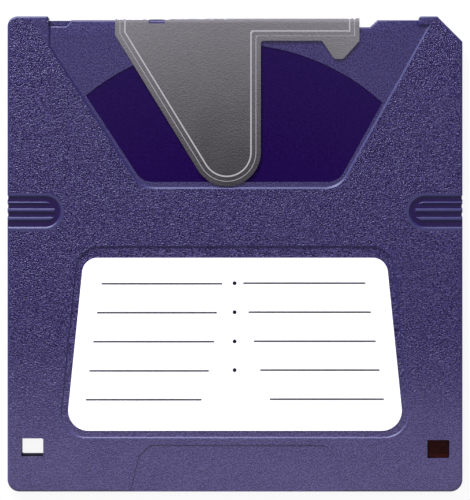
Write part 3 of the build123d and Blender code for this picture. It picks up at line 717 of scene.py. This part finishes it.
# %% Make the hook and thicken the sheet
EYE = (-15.45, 44.15)
EYE_RADIUS = 0.35
HOOK_HALF = 0.75
SHEET = 0.16
STAMPED_ANGLE = 6.9
bpy.ops.object.select_all(action="DESELECT")
bpy.ops.mesh.primitive_circle_add(vertices=24, radius=EYE_RADIUS * MM,
                                  location=(EYE[0] * MM, EYE[1] * MM, HOOK_TOP * MM))
hook = start_object("hook")
bpy.ops.mesh.extrude_edges_move()
bpy.ops.transform.resize(value=[HOOK_HALF / EYE_RADIUS] * 2 + [1],
                         center_override=(EYE[0] * MM, EYE[1] * MM, HOOK_TOP * MM))
select_where(hook, lambda middle, part: middle.y > EYE[1] + 0.04
             and math.hypot(middle.x - EYE[0], middle.y - EYE[1]) > HOOK_HALF - 0.05, "EDGE")
bpy.ops.mesh.extrude_edges_move()
bpy.ops.transform.resize(value=(1, 0, 1), center_override=(0, (NOSE - 0.1) * MM, 0))
bpy.ops.mesh.select_all(action="SELECT")
bpy.ops.mesh.remove_doubles(threshold=0.005 * MM)
bpy.ops.mesh.normals_make_consistent(inside=False)
bpy.ops.object.mode_set(mode="OBJECT")
shutter.select_set(True)
bpy.context.view_layer.objects.active = shutter
bpy.ops.object.join()
apply_modifier(shutter, "SOLIDIFY", thickness=SHEET * MM, offset=-1.0, use_even_offset=True)
finish_piece(shutter, STAMPED_ANGLE)

# %% [markdown]
# The sheet is stainless steel with a satin, tumbled surface. It mirrors the tent's dark
# opening softly, so it runs from dark at the tip to light at the strip.

# %% Satin steel
def satin_steel(name, light, dark, smoothest, roughest):
    """Stainless steel with a fine tumbled grain and faint clouds in its polish."""
    material, tree, output = new_material(name)
    place = add_node(tree, "ShaderNodeTexCoord").outputs["Object"]
    grain = add_node(tree, "ShaderNodeTexNoise", {"Vector": place, "Scale": 1 / (0.28 * MM),
                     "Detail": 2.0}).outputs["Fac"]
    cloud = add_node(tree, "ShaderNodeTexNoise", {"Vector": place, "Scale": 1 / (5 * MM),
                     "Detail": 3.0}).outputs["Fac"]
    colour = add_node(tree, "ShaderNodeMix", {0: grain, 6: to_linear(dark), 7: to_linear(light)},
                      data_type="RGBA").outputs[2]
    roughness = add_node(tree, "ShaderNodeMapRange", {"Value": cloud, "From Min": 0.3,
                         "From Max": 0.7, "To Min": smoothest, "To Max": roughest})
    bump = add_node(tree, "ShaderNodeBump", {"Height": grain, "Strength": 0.8,
                    "Distance": 0.008 * MM})
    shader = add_node(tree, "ShaderNodeBsdfPrincipled", {"Base Color": colour, "Metallic": 1.0,
                      "Roughness": roughness, "Normal": bump})
    tree.links.new(shader.outputs[0], output.inputs["Surface"])
    return material


shutter_steel = satin_steel("satin_stainless_steel", "#cccad1", "#afadb5", 0.115, 0.13)
give(shutter, shutter_steel)
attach(shutter, "shutter")
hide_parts("shutter")

# %% [markdown]
# ## The spring
#
# A torsion spring of 0.4 mm wire pushes the shutter shut. Its section is a small circle,
# the Screw modifier winds it into the coil, and the coil's two end loops are dragged out
# into the legs and bent down into their holes. It gives way as the shutter opens.

# %% Wind the spring
WIRE = 0.2
COIL = (-31.0, 39.6)
COIL_RADIUS = 1.5
PITCH = 0.45
ANCHOR = (-41.8, 43.3)
SPRING_LOW = 1.4
BEND = 0.3


def tangent_angle(point, side):
    """Where a line from a point touches the coil's circle, as an angle."""
    dx, dy = point[0] - COIL[0], point[1] - COIL[1]
    return math.atan2(dy, dx) + side * math.acos(COIL_RADIUS / math.hypot(dx, dy))


start_angle = tangent_angle(ANCHOR, 1)
turn = 2 * math.pi + (tangent_angle(EYE, -1) - start_angle) % (2 * math.pi)
rise = PITCH * turn / (2 * math.pi)
bpy.ops.object.select_all(action="DESELECT")
bpy.ops.mesh.primitive_circle_add(vertices=12, radius=WIRE * MM, location=(COIL_RADIUS * MM, 0, 0),
                                  rotation=(math.pi / 2, 0, 0))
spring = start_object("spring_wire")
bpy.ops.object.mode_set(mode="OBJECT")
apply_modifier(spring, "SCREW", angle=turn, screw_offset=rise * MM, steps=72, render_steps=72,
               axis="Z", use_merge_vertices=False)
spring.rotation_euler = (0, 0, start_angle)
spring.location = (COIL[0] * MM, COIL[1] * MM, SPRING_LOW * MM)
bpy.ops.object.transform_apply(location=True, rotation=True, scale=True)


def draw_leg(angle, height, goal, drop):
    """Drags the coil's end loop to a point, bends it down there and drags it down."""
    start = (COIL[0] + COIL_RADIUS * math.cos(angle), COIL[1] + COIL_RADIUS * math.sin(angle))
    way = Vector((goal[0] - start[0], goal[1] - start[1], 0))
    run = way.normalized()
    found = select_where(spring, lambda middle, part: part.is_boundary
                         and (middle - Vector((*start, height))).length < WIRE * 1.2, "EDGE")
    straight = way - run * BEND
    bpy.ops.mesh.extrude_region_move(TRANSFORM_OT_translate={"value": straight * MM})
    axis = run.cross(Vector((0, 0, -1)))
    pivot = Vector((*start, height)) + straight - Vector((0, 0, BEND))
    bpy.ops.mesh.spin(steps=5, angle=-math.pi / 2, center=pivot * MM, axis=axis)
    bpy.ops.mesh.extrude_region_move(TRANSFORM_OT_translate={"value": (0, 0, -(drop - BEND) * MM)})
    bpy.ops.mesh.edge_face_add()
    print("leg from a loop of", found, "edges, to", [round(c, 2) for c in goal])


bpy.ops.object.mode_set(mode="EDIT")
draw_leg(start_angle, SPRING_LOW, ANCHOR, 0.6)
draw_leg(start_angle + turn, SPRING_LOW + rise, EYE, SPRING_LOW + rise - HOOK_TOP + 0.2)
bpy.ops.mesh.select_all(action="SELECT")
bpy.ops.mesh.normals_make_consistent(inside=False)
finish_piece(spring, 40)

# %% [markdown]
# Drawn spring wire is steel as well, but duller and a little browner than the sheet.

# %% Spring wire
give(spring, satin_steel("drawn_spring_wire", "#a9a6a2", "#8e8b87", 0.24, 0.3))
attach(spring, "case")
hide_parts("shutter_spring")
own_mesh(spring)

# %% [markdown]
# ## The label and its printing
#
# The label is matt coated paper. Five pairs of writing rules are printed on it in grey ink,
# with a row of black dots between them. Every mark begins as a round dot of ink. A rule is
# such a dot, as wide as the rule is thick and drawn out to its length, so its ends stay round.

# %% Print the rules and the dots
LABEL_TOP = 3.2
INK = 0.006
RULE = 0.35
RULES = ((-26.4, -2.5, -5.88), (-27.3, -3.55, -11.6), (-28.05, -4.1, -17.33),
         (-28.8, -5.15, -23.1), (-29.5, -6.6, -28.8), (1.6, 25.8, -5.77), (2.65, 26.9, -11.5),
         (3.7, 27.85, -17.25), (4.95, 28.6, -22.95), (6.85, 29.45, -28.7))
DOTS = ((-0.08, -5.77), (-0.08, -11.5), (-0.08, -17.27), (-0.08, -22.95))
DOT_RADIUS = 0.39


def print_mark(name, width, height, x, y):
    """A flat mark of ink with round ends, drawn to its width."""
    bpy.ops.object.select_all(action="DESELECT")
    bpy.ops.mesh.primitive_circle_add(vertices=20, radius=height / 2 * MM, fill_type="NGON",
                                      location=(x * MM, y * MM, LABEL_TOP * MM))
    mark = start_object(name)
    for side in (-1, 1):
        select_where(mark, lambda middle, part: (middle.x - x) * side > 0.001)
        bpy.ops.transform.translate(value=(side * (width - height) / 2 * MM, 0, 0))
    bpy.ops.mesh.select_all(action="SELECT")
    bpy.ops.mesh.extrude_region_move(TRANSFORM_OT_translate={"value": (0, 0, INK * MM)})
    bpy.ops.mesh.select_all(action="SELECT")
    bpy.ops.mesh.normals_make_consistent(inside=False)
    bpy.ops.object.mode_set(mode="OBJECT")
    return mark


def join_marks(name, marks):
    """Joins the marks of one ink into one piece."""
    bpy.ops.object.select_all(action="DESELECT")
    for mark in marks:
        mark.select_set(True)
    bpy.context.view_layer.objects.active = marks[0]
    bpy.ops.object.join()
    marks[0].name = name
    finish_piece(marks[0])
    return marks[0]


rules = join_marks("label_rules", [print_mark("rule", high - low, RULE, (low + high) / 2, y)
                                   for low, high, y in RULES])
dots = join_marks("label_dots", [print_mark("dot", 2 * DOT_RADIUS, 2 * DOT_RADIUS, x, y)
                                 for x, y in DOTS])

# %% [markdown]
# The paper is nearly white and matt, with the faint tooth of its fibres. The inks are thin
# films on it: they take its tooth, and reflect so little that they stay dark under the lamps.

# %% Label paper and ink
def printed_paper(name, light, dark, roughness, height, gloss=0.5):
    """A matt sheet or an ink film, with a faint cloudiness and the tooth of its fibres."""
    material, tree, output = new_material(name)
    place = add_node(tree, "ShaderNodeTexCoord").outputs["Object"]
    fibre = add_node(tree, "ShaderNodeTexNoise", {"Vector": place, "Scale": 1 / (0.35 * MM),
                     "Detail": 4.0, "Roughness": 0.6}).outputs["Fac"]
    colour = add_node(tree, "ShaderNodeMix", {0: fibre, 6: to_linear(dark), 7: to_linear(light)},
                      data_type="RGBA").outputs[2]
    bump = add_node(tree, "ShaderNodeBump", {"Height": fibre, "Strength": 0.3,
                    "Distance": height})
    shader = add_node(tree, "ShaderNodeBsdfPrincipled", {"Base Color": colour,
                      "Specular IOR Level": gloss, "Roughness": roughness, "Normal": bump})
    tree.links.new(shader.outputs[0], output.inputs["Surface"])
    return material


give(nodes["paper_label"],
     printed_paper("matt_coated_paper", "#fefdff", "#f9f8fb", 0.6, 0.01 * MM))
give(rules, printed_paper("grey_printing_ink", "#4c4a45", "#403e3a", 0.5, 0.005 * MM, 0.1))
give(dots, printed_paper("black_printing_ink", "#141214", "#0e0c0e", 0.5, 0.005 * MM, 0.1))
for printing in (rules, dots):
    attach(printing, "case")

# %% [markdown]
# ## The remaining finishes
#
# Each of the other pieces keeps its CAD shape and gets the material that the real one has.
# The slider is dark brown acetal, which is waxy and lightly worn. The wear pad is milky
# polyethylene, and soft to the eye. The liner's lifter is a clear polyester film that lets
# some light through, and the ring between hub and film is amber acrylic adhesive with a dull
# shine. All four are speckled a little, so one recipe makes them.

# %% Small plastic pieces
def speckled_plastic(name, light, dark, spacing, roughness, height, gloss=0.5, clear=0.0):
    """A moulded or rolled plastic with a little grain; clear lets some light through it."""
    material, tree, output = new_material(name)
    place = add_node(tree, "ShaderNodeTexCoord").outputs["Object"]
    grain = add_node(tree, "ShaderNodeTexNoise", {"Vector": place, "Scale": 1 / spacing,
                     "Detail": 2.0}).outputs["Fac"]
    colour = add_node(tree, "ShaderNodeMix", {0: grain, 6: to_linear(dark), 7: to_linear(light)},
                      data_type="RGBA").outputs[2]
    rough = add_node(tree, "ShaderNodeMapRange", {"Value": grain, "To Min": roughness - 0.06,
                     "To Max": roughness + 0.06})
    bump = add_node(tree, "ShaderNodeBump", {"Height": grain, "Strength": 0.5,
                    "Distance": height})
    shader = add_node(tree, "ShaderNodeBsdfPrincipled", {"Base Color": colour, "Roughness": rough,
                      "Specular IOR Level": gloss, "Transmission Weight": clear, "Normal": bump})
    tree.links.new(shader.outputs[0], output.inputs["Surface"])
    return material


give(nodes["write_protect_slider"],
     speckled_plastic("brown_acetal", "#3c0a08", "#100201", 0.5 * MM, 0.13, 0.004 * MM, 0.12))
give(nodes["spindle_wear_pad"],
     speckled_plastic("milky_polyethylene", "#e9e8e2", "#dddbd4", 0.6 * MM, 0.45, 0.01 * MM))
give(nodes["liner_lifter"],
     speckled_plastic("clear_polyester_film", "#e4e8ea", "#d6dadd", 2.0 * MM, 0.2, 0.002 * MM,
                      clear=0.4))
give(nodes["hub_adhesive_ring"],
     speckled_plastic("amber_acrylic_adhesive", "#c9ab62", "#b3924b", 0.8 * MM, 0.35, 0.01 * MM))

# %% [markdown]
# The film is polyester with a metal particle coating. It is nearly black, and burnishing
# has left it with very fine rings about the hub. The rings are drawn 0.6 mm apart, which is
# coarser than they are, so that they show at all.

# %% Magnetic film
RING_SPACING = 0.6 * MM
hub_low, hub_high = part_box("hub_plate")
hub_middle = (hub_low + hub_high) / 2


def magnetic_film():
    """Dark brown coated film with burnishing rings round the hub."""
    material, tree, output = new_material("metal_particle_film")
    place = add_node(tree, "ShaderNodeTexCoord").outputs["Object"]
    centred = add_node(tree, "ShaderNodeMapping", {"Vector": place, "Location": -hub_middle})
    rings = add_node(tree, "ShaderNodeTexWave", {"Vector": centred, "Distortion": 0.6,
                     "Scale": math.pi / (10 * RING_SPACING), "Detail": 2.0}, wave_type="RINGS",
                     rings_direction="Z").outputs["Fac"]
    colour = add_node(tree, "ShaderNodeMix", {0: rings, 6: to_linear("#171210"),
                      7: to_linear("#211a17")}, data_type="RGBA").outputs[2]
    rough = add_node(tree, "ShaderNodeMapRange", {"Value": rings, "To Min": 0.16,
                     "To Max": 0.22})
    bump = add_node(tree, "ShaderNodeBump", {"Height": rings, "Strength": 0.2,
                    "Distance": 0.002 * MM})
    shader = add_node(tree, "ShaderNodeBsdfPrincipled", {"Base Color": colour, "Roughness": rough,
                      "IOR": 1.65, "Normal": bump})
    tree.links.new(shader.outputs[0], output.inputs["Surface"])
    return material


give(nodes["magnetic_disc"], magnetic_film())

# %% [markdown]
# The hub is pressed from rolled strip, so its steel has straight drawing lines. A noise
# that is stretched thirty times along X gives them.

# %% Rolled steel of the hub
def rolled_steel():
    """Nickel plated steel strip with straight rolling lines."""
    material, tree, output = new_material("rolled_nickel_plated_steel")
    place = add_node(tree, "ShaderNodeTexCoord").outputs["Object"]
    stretched = add_node(tree, "ShaderNodeMapping", {"Vector": place, "Scale": (1 / 30, 1, 1)})
    lines = add_node(tree, "ShaderNodeTexNoise", {"Vector": stretched, "Scale": 1 / (0.18 * MM),
                     "Detail": 3.0}).outputs["Fac"]
    colour = add_node(tree, "ShaderNodeMix", {0: lines, 6: to_linear("#aba9a3"),
                      7: to_linear("#c6c4be")}, data_type="RGBA").outputs[2]
    rough = add_node(tree, "ShaderNodeMapRange", {"Value": lines, "To Min": 0.26,
                     "To Max": 0.38})
    bump = add_node(tree, "ShaderNodeBump", {"Height": lines, "Strength": 0.5,
                    "Distance": 0.006 * MM})
    shader = add_node(tree, "ShaderNodeBsdfPrincipled", {"Base Color": colour, "Metallic": 1.0,
                      "Roughness": rough, "Normal": bump})
    tree.links.new(shader.outputs[0], output.inputs["Surface"])
    return material


give(nodes["hub_plate"], rolled_steel())

# %% [markdown]
# The liners are non-woven polyester: a felt of short fibres that lie in every direction. Two
# noises, stretched along crossing directions, make that felt.

# %% Non-woven liner
def non_woven():
    """White felt of crossing fibres, drawn 0.15 mm thick so that they show."""
    material, tree, output = new_material("non_woven_polyester")
    place = add_node(tree, "ShaderNodeTexCoord").outputs["Object"]
    felts = []
    for turn_by, scale in ((0.6, (1 / 8, 1, 1)), (-0.7, (1, 1 / 8, 1))):
        laid = add_node(tree, "ShaderNodeMapping", {"Vector": place, "Rotation": (0, 0, turn_by),
                        "Scale": scale})
        felts.append(add_node(tree, "ShaderNodeTexNoise", {"Vector": laid, "Detail": 2.0,
                              "Scale": 1 / (0.15 * MM)}).outputs["Fac"])
    fibres = add_node(tree, "ShaderNodeMath", {0: felts[0], 1: felts[1]},
                      operation="MAXIMUM")
    colour = add_node(tree, "ShaderNodeMix", {0: fibres, 6: to_linear("#c9c9c6"),
                      7: to_linear("#f0f0ee")}, data_type="RGBA").outputs[2]
    bump = add_node(tree, "ShaderNodeBump", {"Height": fibres, "Distance": 0.08 * MM})
    shader = add_node(tree, "ShaderNodeBsdfPrincipled", {"Base Color": colour, "Roughness": 0.9,
                      "Normal": bump, "Sheen Weight": 0.3})
    tree.links.new(shader.outputs[0], output.inputs["Surface"])
    return material


felt = non_woven()
for name in ("upper_liner", "lower_liner"):
    give(nodes[name], felt)
